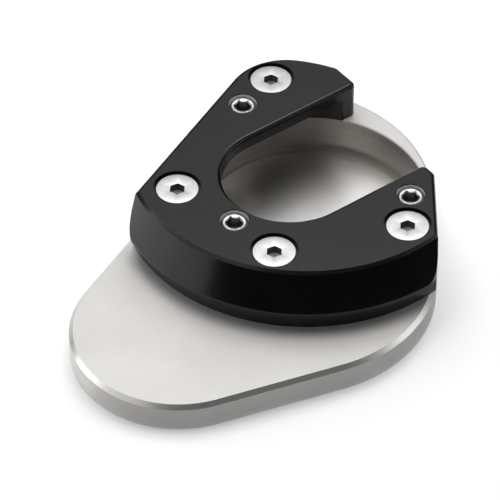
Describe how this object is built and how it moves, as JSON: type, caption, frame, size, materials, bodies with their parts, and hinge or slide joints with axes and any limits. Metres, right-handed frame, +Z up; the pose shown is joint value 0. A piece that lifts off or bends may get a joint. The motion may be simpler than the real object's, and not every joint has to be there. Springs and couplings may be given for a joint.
{
  "type": "kickstand pad",
  "caption": "Wide foot for a motorcycle side stand: a flat plate with a round foot pocket and a U-shaped screwed-on clamp with set screws.",
  "frame": {"origin": "on the underside, straight below the middle of the round foot pocket", "axes": "+X along the slot of the clamp to its open end, +Z up, +Y to the longer arm's side"},
  "size_m": [0.125, 0.1021, 0.0274],
  "materials": {
    "base_metal": "satin, clear anodised",
    "clamp_black": "satin, black anodised",
    "screw_steel": "bright stainless",
    "set_screw_steel": "plain stainless"
  },
  "bodies": {
    "root": {"base": "base_metal", "clamp": "clamp_black", "clamp_screws": "screw_steel", "set_screws": "set_screw_steel"}
  },
  "joints": []
}
